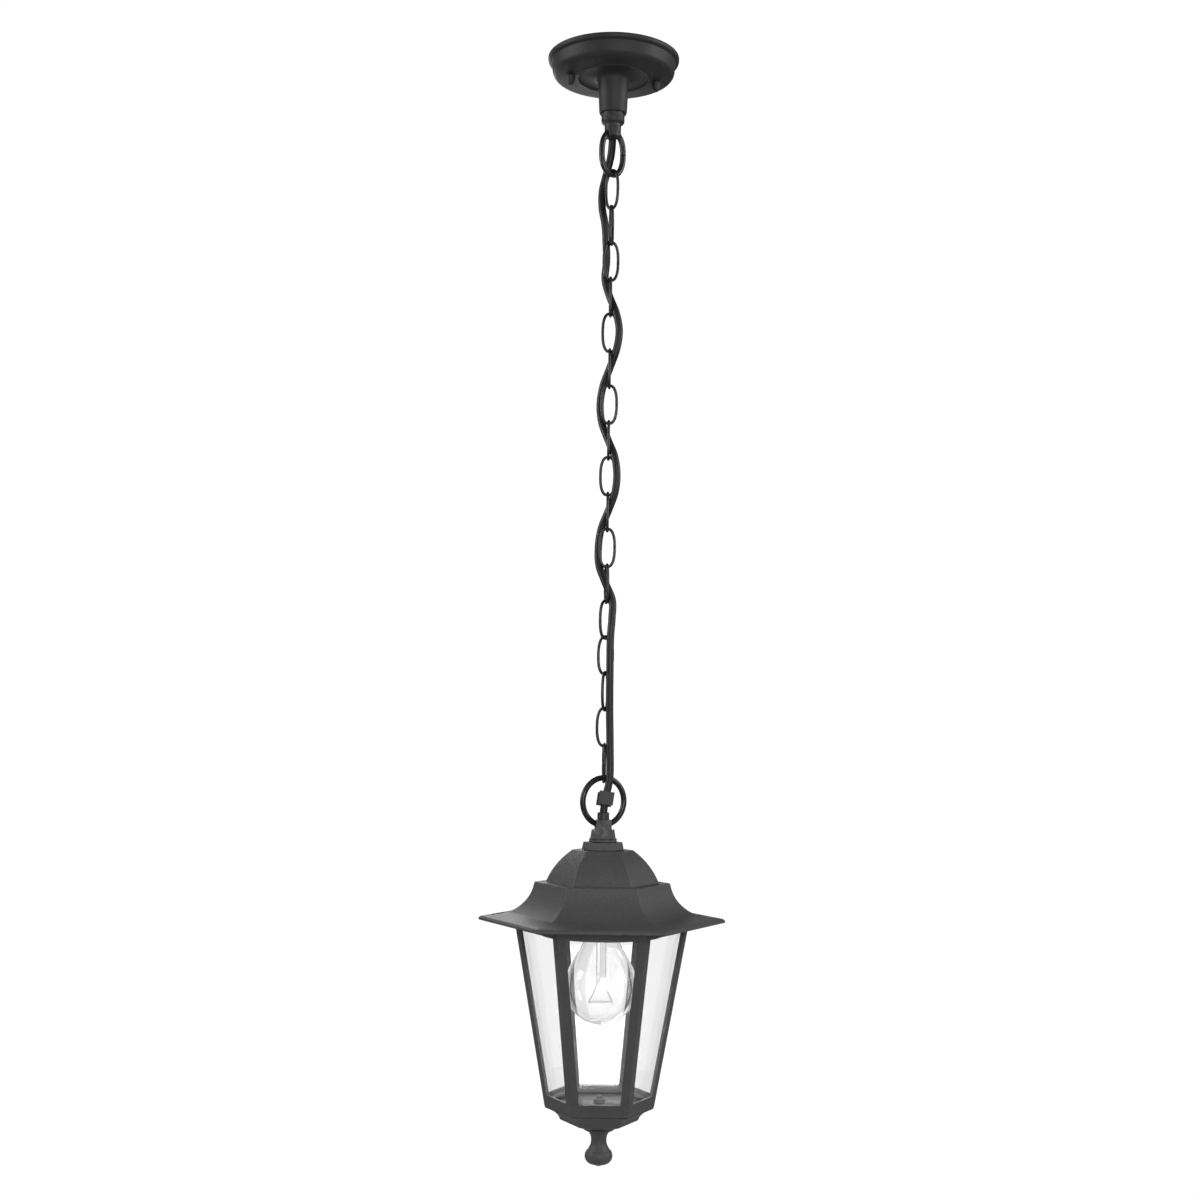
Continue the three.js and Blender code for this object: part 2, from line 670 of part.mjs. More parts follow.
function addBulb() {
  const r = bulbCapRadius;
  const capFoot = bulbTop - 26;
  add("bulb_cap", turned([
    [0, bulbTop], [3.6, bulbTop], [4.4, bulbTop - 1.2], [9.6, bulbTop - 2.6], [r, bulbTop - 4.6],
    [r, capFoot], [r - 0.5, capFoot], [r - 0.5, bulbTop - 5.4], [0, bulbTop - 4],
  ], 32), brass);
  const neck = r - 0.5 - gap;
  const widest = bulbFoot + bulbRadius + 1;
  const outside = [[neck, capFoot + 12], [neck, capFoot]];
  const shoulder = new THREE.CubicBezierCurve(
    new THREE.Vector2(neck, capFoot),
    new THREE.Vector2(neck + 2.6, capFoot - 14),
    new THREE.Vector2(bulbRadius, widest + 19),
    new THREE.Vector2(bulbRadius, widest),
  ).getPoints(6).slice(1).map((p) => [p.x, p.y]);
  const crown = [];
  for (let i = 1; i <= 5; i++) {
    const angle = (i / 5) * (Math.PI / 2);
    crown.push([bulbRadius * Math.cos(angle), widest - (widest - bulbFoot) * Math.sin(angle)]);
  }
  crown[4][0] = 0;
  const outer = [...outside, ...shoulder, ...crown];
  const inner = outer.map(([radius, z]) => [
    radius > 1 ? radius - bulbWall : 0,
    radius > 1 ? z : z + bulbWall,
  ]);
  add("bulb_glass", turned([...inner.reverse(), ...outer], 28), clearGlass);

  const mountFoot = capFoot - 45;
  add("bulb_mount", turned([
    [0, capFoot + 4], [neck - bulbWall - gap, capFoot + 4], [7, capFoot + 1], [4.6, capFoot - 4],
    [4, capFoot - 10], [4, mountFoot + 8], [4.4, mountFoot + 4], [3.4, mountFoot], [0, mountFoot],
  ], 16), clearGlass);
  const leadTop = mountFoot - gap - 0.5;
  const filamentWidth = 19;
  const filamentDrop = 16;
  const wave = [-0.5, -0.3, -0.15, 0, 0.15, 0.3, 0.5].map((share, n) =>
    [share * filamentWidth, leadTop - filamentDrop + (n % 2 ? 1.2 : 0)],
  );
  const filament = new THREE.CatmullRomCurve3(
    [[-3, leadTop], [-6, leadTop - filamentDrop / 2], ...wave, [6, leadTop - filamentDrop / 2], [3, leadTop]]
      .map(([x, z]) => new THREE.Vector3(x, 0, z)),
  );
  add("filament", tube(filament, 0.4, 36, 6), zincSteel);
}

// ---- Tray, its floor and the finial that clamps them ----

function addTray() {
  const floorRadius = insideRadius(trayFloorTop) - 0.6;
  const studHole = rod(2.5 + screwGap, trayFloorTop + 5, trayFoot - 5, 16);
  const floor = turned([
    [0, trayFloorTop], [floorRadius, trayFloorTop], [floorRadius, trayFloorTop - trayFloorThickness],
    [0, trayFloorTop - trayFloorThickness],
  ], 6);
  add("tray_floor", cut(floor, studHole), powderCoat);

  const r = cageFootRadius;
  const rim = insideRadius(cageFoot) - 0.6;
  const z = cageFoot - gap;
  const tray = turned([
    [rim, trayTop], [rim, z], [r, z], [r - 0.3, z - 0.9], [r - 5.6, z - 2.8], [r - 7.2, z - 3.8],
    [r - 9.6, z - 5.6], [r - 11.6, z - 7.8], [r - 12.8, z - 10.6], [r - 31.8, trayFoot], [0, trayFoot],
    [0, trayFoot + trayWall], [r - 32.4, trayFoot + trayWall], [r - 15.2, z - 9.6], [r - 14, z - 7.2],
    [r - 12, z - 4.8], [r - 9, z - 2.4], [rim - trayWall, z - 1.4], [rim - trayWall, trayTop],
  ], 6);
  add("base_tray", cut(tray, studHole), powderCoat);

  const top = trayFoot - gap;
  const neck = top - 10;
  add("finial", turned([
    [0, trayFloorTop + 7], [2.5, trayFloorTop + 7], [2.5, top], [13.3, top], [13, top - 1], [8.6, top - 3.2],
    [6.9, top - 6.4], [6.4, neck], [6.8, neck - 3.4], [8.2, neck - 6.4], [10, neck - 8.8], [11, neck - 10.2],
    [11.5, neck - 13.4], [11, neck - 16], [9.4, neck - 18.2], [6.4, neck - 19.8], [3.2, neck - 21.4],
    [0, trayFoot - finialDrop],
  ], 24), powderCoat);
  const nutTop = trayFloorTop + gap + 3.6;
  const nut = turned([[0, nutTop], [4.6, nutTop], [4.6, trayFloorTop + gap], [0, trayFloorTop + gap]], 6);
  add("finial_nut", cut(nut, studHole), zincSteel);
}

// ---- Build ----

addCeilingBracket();
addStuds();
addTerminalBlock();
addCanopy();
addEyeAndLoop();
addChain();
addRing();
addCordGrip();
addHanger();
addRoof();
addCage();
addPanes();
addLampholderPlate();
addLampholder();
addBulb();
addTray();

export default lantern;
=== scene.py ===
# A hanging lantern for a ceiling: canopy, eye, chain with the mains cord woven through it, ring, and a
# six-sided glazed lantern with its lamp. It is put together here from the ceiling down, in the frame's own
# place and size. Objects are in metres. Outlines and routes are written in millimetres, as on a drawing.

import math

import bmesh
import bpy
from mathutils import Matrix, Vector


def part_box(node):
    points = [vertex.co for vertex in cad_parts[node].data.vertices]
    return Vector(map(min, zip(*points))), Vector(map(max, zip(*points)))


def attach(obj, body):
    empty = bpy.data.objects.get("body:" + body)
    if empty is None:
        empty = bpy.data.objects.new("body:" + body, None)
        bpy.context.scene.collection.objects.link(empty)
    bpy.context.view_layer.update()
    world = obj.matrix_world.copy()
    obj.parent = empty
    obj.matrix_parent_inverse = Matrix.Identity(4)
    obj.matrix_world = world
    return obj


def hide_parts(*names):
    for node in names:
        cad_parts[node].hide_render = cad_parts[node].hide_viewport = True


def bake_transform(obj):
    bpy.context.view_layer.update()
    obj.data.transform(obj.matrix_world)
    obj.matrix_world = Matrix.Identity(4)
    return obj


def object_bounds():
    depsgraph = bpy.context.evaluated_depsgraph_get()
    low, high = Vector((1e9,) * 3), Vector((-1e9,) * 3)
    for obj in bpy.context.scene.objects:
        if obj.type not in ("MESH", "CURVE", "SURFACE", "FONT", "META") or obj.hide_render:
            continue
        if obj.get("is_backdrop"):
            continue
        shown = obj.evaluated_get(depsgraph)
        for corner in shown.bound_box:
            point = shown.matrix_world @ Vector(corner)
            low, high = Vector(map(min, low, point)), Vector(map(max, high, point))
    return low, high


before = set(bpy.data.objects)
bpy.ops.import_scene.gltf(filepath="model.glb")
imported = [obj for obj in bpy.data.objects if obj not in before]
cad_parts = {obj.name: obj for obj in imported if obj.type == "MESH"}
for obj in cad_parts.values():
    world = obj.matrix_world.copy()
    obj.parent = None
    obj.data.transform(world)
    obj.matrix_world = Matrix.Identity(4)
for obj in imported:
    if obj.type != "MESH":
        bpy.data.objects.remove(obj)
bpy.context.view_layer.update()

scene = bpy.context.scene


# ---- Camera ----
# A plain camera in front of the lantern, level, at about the height of the lower chain. It is rolled a
# little, so that the ceiling and the chain lean by that much.

camera = bpy.data.objects.new("camera", bpy.data.cameras.new("camera"))
camera.data.lens = 49.3
camera.data.sensor_width = 36
camera.data.shift_y = 0.1
camera.location = (-0.0038, -1.362, -0.548)
camera.rotation_euler = (math.radians(90), math.radians(-0.8), 0)
scene.collection.objects.link(camera)
scene.camera = camera


# ---- Mains cord ----
# A round black PVC cord, 6.3 mm thick. It comes out of the stem, is woven in and out of the chain, is held
# by the grip in the ring, and goes through the bush and roof into the lampholder. It is one cord, made here
# in lengths that meet end to end, one for each joint of the chain.

mm = 0.001


def top_of(node):
    """The height of a CAD node's top, in millimetres."""
    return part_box(node)[1].z / mm


def foot_of(node):
    """The height of a CAD node's lowest point, in millimetres."""
    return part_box(node)[0].z / mm


class Value:
    """One output of a shader node, so that sums on it are written as sums."""

    def __init__(self, nodes, socket):
        self.nodes = nodes
        self.socket = socket

    def maths(self, operation, first, second):
        return self.nodes.node("Math", {"operation": operation}, {0: first, 1: second})

    def __add__(self, other):
        return self.maths("ADD", self, other)

    def __sub__(self, other):
        return self.maths("SUBTRACT", self, other)

    def __rsub__(self, other):
        return self.maths("SUBTRACT", other, self)

    def __mul__(self, other):
        return self.maths("MULTIPLY", self, other)

    __radd__ = __add__
    __rmul__ = __mul__


class Nodes:
    """The shader nodes of a material or of the room."""

    def __init__(self, tree):
        self.tree = tree

    def node(self, kind, settings=None, inputs=None, output=0):
        made = self.tree.nodes.new("ShaderNode" + kind)
        for setting, value in (settings or {}).items():
            setattr(made, setting, value)
        for key, value in (inputs or {}).items():
            self.feed(made.inputs[key], value)
        return Value(self, made.outputs[output])

    def feed(self, socket, value):
        if isinstance(value, Value):
            self.tree.links.new(value.socket, socket)
        else:
            socket.default_value = value


class Finish(Nodes):
    """A material with one main surface. Fixed settings go on its sockets, and nodes feed what varies."""

    def __init__(self, name, **fixed):
        self.material = bpy.data.materials.new(name)
        self.material.use_nodes = True
        super().__init__(self.material.node_tree)
        self.surface = self.tree.nodes["Principled BSDF"]
        for setting, value in fixed.items():
            self.surface.inputs[setting.replace("_", " ")].default_value = value

    def place(self, scale):
        where = self.node("TexCoord", output="Object")
        return self.node("Mapping", None, {"Vector": where, "Scale": scale})

    def noise(self, scale, detail=2.0, stretch=(1, 1, 1)):
        settings = {"Vector": self.place(stretch), "Scale": scale, "Detail": detail}
        return self.node("TexNoise", None, settings, "Fac")

    def between(self, value, low, high):
        """0 where the value is under low, 1 where it is over high."""
        steps = {"From Min": low, "From Max": high, "To Min": 0.0, "To Max": 1.0}
        return self.node("MapRange", {"clamp": True}, {"Value": value, **steps})

    def worn_edges(self, low=0.53, high=0.6):
        """1 on the outer edges of a piece, broken up as rubbing breaks up paint."""
        edge = self.between(self.node("NewGeometry", output="Pointiness"), low, high)
        return edge * self.between(self.noise(220, 3), 0.45, 0.62)

    def mixed(self, share, first, second):
        return self.node("Mix", {"data_type": "RGBA"}, {0: share, 6: first, 7: second}, 2)

    def colour(self, value):
        self.feed(self.surface.inputs["Base Color"], value)

    def roughness(self, value):
        self.feed(self.surface.inputs["Roughness"], value)

    def grain(self, height, depth):
        """Raises the surface by a varying height; depth is in millimetres."""
        inputs = {"Strength": 1.0, "Distance": depth * mm, "Height": height}
        bump = self.node("Bump", None, inputs)
        self.feed(self.surface.inputs["Normal"], bump)


def grey(level, warmth=0.0):
    return (level * (1 + warmth), level, level * (1 - warmth), 1)


cord_black = Finish("cord_pvc", Specular_IOR_Level=0.3)
cord_dust = cord_black.between(cord_black.noise(60, 4), 0.45, 0.75)
cord_black.colour(cord_black.mixed(cord_dust, grey(0.006), grey(0.013, 0.03)))
cord_black.roughness(0.36 + cord_dust * 0.2 + cord_black.noise(900, 2) * 0.08)
cord_black.grain(cord_black.noise(700, 3, (1, 1, 0.25)), 0.12)


def flowing(points, spacing):
    """Points along a smooth curve through the given ones, about the given spacing apart."""
    reach = [points[0] * 2 - points[1], *points, points[-1] * 2 - points[-2]]
    route = []
    for before, here, ahead, beyond in zip(reach, reach[1:], reach[2:], reach[3:]):
        gaps = (here - before, ahead - here, beyond - ahead)
        first, middle, last = [math.sqrt(gap.length) for gap in gaps]
        leaving = (here - before) / first - (ahead - before) / (first + middle) + (ahead - here) / middle
        coming = (ahead - here) / middle - (beyond - here) / (middle + last) + (beyond - ahead) / last
        steps = max(1, round((ahead - here).length / spacing))
        for step in range(steps):
            t = step / steps
            route.append(
                here * (2 * t**3 - 3 * t**2 + 1) + leaving * middle * (t**3 - 2 * t**2 + t)
                + ahead * (3 * t**2 - 2 * t**3) + coming * middle * (t**3 - t**2)
            )
    return route + [points[-1]]


def swept(stations, radius, sides):
    """A round bar of the given radius along the stations, with flat ends."""
    shape = bmesh.new()
    last = len(stations) - 1
    ways = [
        (stations[min(n + 1, last)] - stations[max(n - 1, 0)]).normalized() for n in range(last + 1)
    ]
    section = bmesh.ops.create_circle(shape, cap_ends=False, segments=sides, radius=radius)["verts"]
    turn = Vector((0, 0, 1)).rotation_difference(ways[0]).to_matrix()
    bmesh.ops.rotate(shape, verts=section, cent=(0, 0, 0), matrix=turn)
    bmesh.ops.translate(shape, verts=section, vec=stations[0])
    start = shape.edges[:]
    edges = start
    for n in range(1, last + 1):
        made = bmesh.ops.extrude_edge_only(shape, edges=edges)["geom"]
        section = [part for part in made if isinstance(part, bmesh.types.BMVert)]
        edges = [part for part in made if isinstance(part, bmesh.types.BMEdge)]
        turn = ways[n - 1].rotation_difference(ways[n]).to_matrix()
        bmesh.ops.rotate(shape, verts=section, cent=stations[n - 1], matrix=turn)
        bmesh.ops.translate(shape, verts=section, vec=stations[n] - stations[n - 1])
    bmesh.ops.edgeloop_fill(shape, edges=start)
    bmesh.ops.edgeloop_fill(shape, edges=edges)
    return shape


def piece(name, shape, finish, body, slot, *nodes, crease=32):
    """Turns a finished shape into a piece of the lantern that stands for the named CAD nodes."""
    bmesh.ops.remove_doubles(shape, verts=shape.verts, dist=0.001 * mm)
    bmesh.ops.recalc_face_normals(shape, faces=shape.faces)
    mesh = bpy.data.meshes.new(name)
    shape.to_mesh(mesh)
    shape.free()
    mesh.shade_smooth()
    mesh.set_sharp_from_angle(angle=math.radians(crease))
    mesh.materials.append(finish.material)
    made = bpy.data.objects.new(name, mesh)
    scene.collection.objects.link(made)
    if body:
        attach(made, body)
    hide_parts(*nodes)
    return made


link_wire = 2.45
ring_wire = 4.8
loop_wire = 4.9
links = 17
link_names = [f"chain_link_{n + 1:02d}" for n in range(links)]
chain_top = top_of("chain_link_01") - link_wire / 2
link_pitch = top_of("chain_link_01") - top_of("chain_link_02")
ring_foot = foot_of("hanging_ring") + ring_wire / 2
stem_end = foot_of("canopy")
eye_top = stem_end - 7.9
roof_top = top_of("roof")
washer_top = top_of("roof_washer")
holder_top = top_of("lampholder_cap") - 3

# How many links down each point is, and where it lies beside the chain's own line.
cord_weave = [
    (-0.5, -1.2, 7.3), (0, -4.6, 7.8), (0.5, -7.9, 7.6), (1, -7.9, 4.9), (1.5, -5.3, 2.3), (2, -4.2, 3.4),
    (2.5, -3.7, 4.4), (3, -4.7, 3.6), (3.5, -0.9, 0.4), (4, 4.8, -3.4), (4.5, 7.6, -4.9), (5, 5.7, -3.9),
    (5.5, 0.4, -0.2), (6, -5.2, 4), (6.5, -7.4, 5.2), (7, -5.9, 4.5), (7.5, -0.6, 0.5), (8, 5.2, -4),
    (8.5, 7.3, -5.2), (9, 5.9, -4.5), (9.5, 0.6, -0.4), (10, -5.2, 4.1), (10.5, -7.2, 5.2), (11, -6.5, 4.2),
    (11.5, -1, 0.5), (12, 5, -2.5), (12.5, 4.9, -4.9), (13, 3.9, -6.1), (14, 3.8, -6.2), (15, 4, -5.4),
    (16, 4.7, -5.6), (17, 4.7, -6.3), (17.5, 1.6, -6.8),
]
cord_points = [
    (0, 4.2, top_of("mains_cord")), (0, 4.2, -26), (0, 4.4, stem_end + 6), (0, 5.9, eye_top),
    (0, 6.9, eye_top - 7),
    *[(x, y, chain_top - down * link_pitch) for down, x, y in cord_weave],
    (0, -7, ring_foot + 8), (0, -7, ring_foot - 4), (0, -7, washer_top), (0, -6.8, roof_top + 4.5),
    (0, -5.8, roof_top - 1.5), (0, -3.5, roof_top - 8), (0, -1.2, roof_top - 14.5),
    (0, -0.2, holder_top + 4.5), (0, 0, holder_top - 1), (0, 0, holder_top - 7),
]
cord_radius = 3.15
cord_spacing = 2.5
cord = swept(
    flowing([Vector(point) * mm for point in cord_points], cord_spacing * mm), cord_radius * mm, 24
)

loop_axis = top_of("top_loop") - loop_wire / 2
loop_foot = foot_of("top_loop") + loop_wire / 2
link_feet = [foot_of(name) + link_wire / 2 for name in link_names]
half_link = (top_of("chain_link_01") - foot_of("chain_link_01")) / 2
bend = 12  # half the height over which the cord bends at a joint of the chain
in_the_eye = -60
in_the_loop = -78
under_everything = -1000
# Each length of cord: the bodies it runs between, where it ends, and where it starts and stops bending.
cord_runs = [
    ("ceiling_mount", None, in_the_eye, 0, 0),
    ("ceiling_mount", "top_loop", in_the_loop, loop_axis - 5, in_the_loop),
    ("top_loop", "link_01", top_of("chain_link_01") - half_link, loop_foot + bend, loop_foot - bend),
]
for n in range(1, links):
    axis = link_feet[n - 1]
    cord_runs.append(
        (f"link_{n:02d}", f"link_{n + 1:02d}", top_of(link_names[n]) - half_link, axis + bend, axis - bend)
    )
cord_runs.append((f"link_{links}", "ring", ring_foot + 22, link_feet[-1] + 8, link_feet[-1] - 6))
cord_runs.append(("ring", "lantern", ring_foot + 9, ring_foot + 16, ring_foot + 10))
cord_runs.append(("lantern", None, under_everything, 0, 0))


def kept_between(shape, high, low):
    """A copy of the shape between two heights, with its cut ends closed."""
    length = shape.copy()
    for height, up in ((high, 1), (low, -1)):
        everything = length.verts[:] + length.edges[:] + length.faces[:]
        bmesh.ops.bisect_plane(
            length, geom=everything, plane_co=(0, 0, height * mm), plane_no=(0, 0, up), clear_outer=True
        )
    bmesh.ops.holes_fill(length, edges=[edge for edge in length.edges if edge.is_boundary], sides=0)
    return length


high = 0
for n, (upper, lower, low, bend_from, bend_to) in enumerate(cord_runs):
    shape = kept_between(cord, high, low)
    rides = None if lower else upper
    length = piece(f"cord_length_{n + 1:02d}", shape, cord_black, rides, "cord_sheath", "mains_cord")
    if lower:
        bend_from * mm
        bend_to * mm
        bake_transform(length)
    high = low
cord.free()


# ---- Ceiling bracket, its studs and the terminal block ----
# A pressed, zinc-plated steel strap is screwed to the ceiling. Two studs hang from it for the canopy, and a
# small white terminal block on it joins the cord to the house wiring. The canopy hides nearly all of it.


def dress(finish, *nodes):
    """Gives CAD nodes that keep their own shape a finish."""
    for name in nodes:
        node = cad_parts[name]
        if not node.material_slots:
            node.data.materials.append(finish.material)
        node.material_slots[0].material = finish.material


zinc = Finish("zinc_plate", Metallic=1.0)
zinc_cloud = zinc.noise(90, 4)
zinc.colour(zinc.mixed(zinc_cloud, grey(0.38), grey(0.56, 0.02)))
zinc.roughness(0.28 + zinc.noise(300, 3) * 0.25)
zinc.grain(zinc.noise(1500, 2), 0.02)

ceramic = Finish("white_insulator", Specular_IOR_Level=0.5, Coat_Roughness=0.1)
ceramic.colour(ceramic.mixed(ceramic.noise(120, 3), grey(0.66, 0.03), grey(0.78, 0.03)))
ceramic.roughness(0.22 + ceramic.noise(400, 2) * 0.2)
ceramic.grain(ceramic.noise(600, 2), 0.03)

dress(zinc, "ceiling_bracket", "stud_left", "stud_right", "hanger_nut")
dress(zinc, "roof_screw_1", "roof_screw_2", "roof_screw_3")
dress(ceramic, "terminal_block", "contact_block")


# ---- Canopy and its two nuts ----
# A cast aluminium cup, flat on the ceiling, with a stepped rim and a hollow stem. It and the two long domed
# nuts that hold it to the studs have the lantern's powder coat, painted darker as painted shade, with the
# same fine sandy grain.


def corners(shape, turn=25):
    """The points of a drawn outline where it turns sharply."""
    sharp = []
    for point in shape.verts:
        if len(point.link_edges) == 2:
            one, other = [edge.other_vert(point).co - point.co for edge in point.link_edges]
            if math.degrees(one.angle(-other)) > turn:
                sharp.append(point)
    return sharp


def turned(outline, rounding=0.4, sides=96, ridge=0.0):
    """A piece made by turning an outline of (radius, height) points, its corners rounded by so many
    millimetres. With 6 sides it is a six-sided casting, and its upright ridges are rounded by the ridge."""
    shape = bmesh.new()
    points = [shape.verts.new((radius * mm, 0, height * mm)) for radius, height in outline]
    for start, end in zip(points, points[1:]):
        shape.edges.new((start, end))
    if outline[0][0] > 0:
        shape.edges.new((points[-1], points[0]))
    if rounding:
        bmesh.ops.bevel(
            shape, geom=corners(shape), offset=rounding * mm, affect="VERTICES", segments=3, profile=0.5,
            material=-1,
        )
    bmesh.ops.spin(
        shape, geom=shape.verts[:] + shape.edges[:], axis=(0, 0, 1), cent=(0, 0, 0), angle=2 * math.pi,
        steps=sides, use_merge=True, use_duplicate=False,
    )
    bmesh.ops.remove_doubles(shape, verts=shape.verts, dist=0.001 * mm)
    if ridge:
        bmesh.ops.recalc_face_normals(shape, faces=shape.faces)
        upright = [
            edge for edge in shape.edges
            if abs(edge.verts[0].co.cross(edge.verts[1].co).z) < 1e-9
            and min(edge.verts[0].co.xy.length, edge.verts[1].co.xy.length) > mm
            and edge.calc_face_angle(0) > 0.35
        ]
        bmesh.ops.bevel(
            shape, geom=upright, offset=ridge * mm, affect="EDGES", segments=3, profile=0.5, material=-1
        )
    return shape


def smooth_outline(points, spacing):
    """Outline points along a smooth curve through the given (radius, height) ones."""
    return [(point.x, point.z) for point in flowing([Vector((r, 0, z)) for r, z in points], spacing)]


def even_shading(made):
    """Keeps wide flat faces flat beside their narrow rounded edges."""
    weighted = made.modifiers.new("even shading", "WEIGHTED_NORMAL")
    weighted.keep_sharp = True
    return made


def powder_coated(name, level, gloss):
    """Powder coat with a sandy grain, a little cloudy, rubbed on its edges."""
    coat = Finish(name, Specular_IOR_Level=gloss)
    specks = coat.between(coat.noise(1300, 2), 0.5, 0.72)
    cloud = coat.noise(38, 4)
    rubbed = coat.worn_edges()
    base = coat.mixed(cloud, grey(level * 0.82, -0.015), grey(level * 1.2))
    speckled = coat.mixed(specks * 0.55, base, grey(level * 2.3, 0.01))
    coat.colour(coat.mixed(rubbed * 0.45, speckled, grey(level * 3.2)))
    coat.roughness(0.5 + cloud * 0.14 - rubbed * 0.12)
    coat.grain(coat.noise(1100, 3) + coat.noise(300, 2) * 0.5, 0.22)
    return coat


charcoal = powder_coated("powder_coat", 0.04, 0.42)
# The ceiling end gets the same powder coat at about a third of its level: painted shade, because the lamps
# light that end less.
shaded_charcoal = powder_coated("powder_coat_painted_shade", 0.014, 0.3)

rim = 54.2
lip = -16.2
canopy_outline = [
    (rim, 0), *smooth_outline([(rim, -1.8), (rim - 0.3, -2.9), (rim - 1, -3.7)], 0.5), (rim - 2.9, -4.3),
    (rim - 3.2, -5.4),
    *smooth_outline([(rim - 3.6, -11), (rim - 4.4, -13.4), (rim - 6.2, -15.2), (rim - 8.8, -15.9)], 0.7),
    (rim - 23.6, lip), (rim - 24.2, lip - 0.8), (rim - 25.4, lip - 0.8), (rim - 25.8, lip),
    *smooth_outline([(16.6, lip - 0.6), (13.6, lip - 2), (12.6, lip - 5)], 1.0), (11.5, stem_end + 1.6),
    (10.9, stem_end), (9.5, stem_end), (9.5, lip - 3), (12, lip + 1.6), (rim - 24, lip + 1.6),
    (rim - 9, lip + 2.2), (rim - 6, -11.5), (rim - 5, -6), (rim - 3.6, -3), (rim - 2.6, 0),
]
canopy_cup = turned(canopy_outline, 0.35, 144)
piece("canopy_cup", canopy_cup, shaded_charcoal, "ceiling_mount", "powder_coat", "canopy")

for side in ("left", "right"):
    node = f"cap_nut_{side}"
    low, high_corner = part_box(node)
    centre = (low + high_corner) / 2
    top = top_of(node)
    nut = turned([
        (0, top), (3.7, top), (3.8, top - 1.2), (3.4, top - 2.4),
        *smooth_outline([(3.2, top - 4.6), (2.4, top - 6.8), (1.4, top - 7.7), (0, top - 8)], 0.5),
    ], 0.2, 40)
    bmesh.ops.translate(nut, verts=nut.verts, vec=(centre.x, centre.y, 0))
    piece(f"domed_nut_{side}", nut, shaded_charcoal, "ceiling_mount", "powder_coat", node)


# ---- Eye under the canopy, and the long loop in it ----
# The eye is a turned block screwed up into the stem, with a curved hole for the loop and a way for the cord.
# The loop is an oval of 4.9 mm steel wire in black lacquer.


def softened(name, node, width, finish, body, slot):
    """A copy of a CAD node's shape with its edges rounded by so many millimetres."""
    shape = bmesh.new()
    shape.from_mesh(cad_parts[node].data)
    bmesh.ops.remove_doubles(shape, verts=shape.verts, dist=0.001 * mm)
    bmesh.ops.dissolve_limit(shape, angle_limit=math.radians(0.5), verts=shape.verts, edges=shape.edges)
    made = piece(name, shape, finish, body, slot, node)
    rounded = made.modifiers.new("rounded edges", "BEVEL")
    rounded.width = width * mm
    rounded.segments = 3
    rounded.limit_method = "ANGLE"
    rounded.angle_limit = math.radians(32)
    rounded.harden_normals = True
    return made


# The eye gets the canopy's coat, which is painted darker as painted shade.
softened("loop_eye", "hook_eye", 0.35, shaded_charcoal, "ceiling_mount", "powder_coat")

lacquer = Finish("black_lacquer", Specular_IOR_Level=0.35)
lacquer_cloud = lacquer.noise(120, 4)
scuffs = lacquer.between(lacquer.noise(500, 4), 0.62, 0.7)
lacquer_base = lacquer.mixed(lacquer_cloud, grey(0.006), grey(0.013))
lacquer.colour(lacquer.mixed(scuffs, lacquer_base, grey(0.05, 0.03)))
lacquer.roughness(0.26 + lacquer_cloud * 0.16 + scuffs * 0.15)
lacquer.grain(lacquer.noise(420, 3), 0.07)


def wire_oval(width, top, foot, squareness, gap, steps):
    """Stations round an upright oval of bent wire in the XZ plane, its butted ends on one side."""
    tall = top - foot
    stations = []
    opening = gap / tall
    for n in range(steps + 1):
        angle = opening + (2 * math.pi - 2 * opening) * n / steps
        across = math.copysign(abs(math.cos(angle)) ** (2 / squareness), math.cos(angle))
        up = math.copysign(abs(math.sin(angle)) ** (2 / squareness), math.sin(angle))
        stations.append(Vector((across * width / 2, 0, (top + foot) / 2 + up * tall / 2)) * mm)
    return stations


def bent_wire(stations, radius, turn, sides=16):
    """Wire along the stations, its cut ends dressed, turned about the hanging line by so many degrees."""
    wire = swept(stations, radius * mm, sides)
    ends = [edge for face in wire.faces if len(face.verts) > 4 for edge in face.edges]
    bmesh.ops.bevel(
        wire, geom=ends, offset=0.12 * radius * mm, affect="EDGES", segments=2, profile=0.5, material=-1
    )
    about_the_line = Matrix.Rotation(math.radians(turn), 3, "Z")
    bmesh.ops.rotate(wire, verts=wire.verts, cent=(0, 0, 0), matrix=about_the_line)
    return wire


loop_turn = 30
loop_width = 25.1
loop_stations = wire_oval(loop_width - loop_wire, loop_axis, loop_foot, 2.3, 0.1, 72)
loop = bent_wire(loop_stations, loop_wire / 2, loop_turn, 20)
piece("long_loop", loop, lacquer, "top_loop", "black_chain", "top_loop")


# ---- Chain ----
# Seventeen oval links of 2.45 mm wire, each bent round and butted, not welded. They hang a little askew
# because the cord pushes them about.

link_turns = [-40, 80, 20, 88, 15, 90, 0, 90, 0, 90, 0, 100, 40, -20, 70, 10, 95]
link_width = 15.05
butt_gap = 0.05
for n, (name, turn) in enumerate(zip(link_names, link_turns)):
    stations = wire_oval(
        link_width - link_wire, top_of(name) - link_wire / 2, link_feet[n], 2.5, butt_gap, 56
    )
    link = bent_wire(stations, link_wire / 2, turn)
    piece(f"link_of_wire_{n + 1:02d}", link, lacquer, f"link_{n + 1:02d}", "black_chain", name)


# ---- Ring and cord grip ----
# A welded ring of 4.8 mm wire joins the chain to the lantern. Inside it a two-part moulded plastic grip is
# clamped on the cord, so that the cord's weight and any pull stay off the terminals.

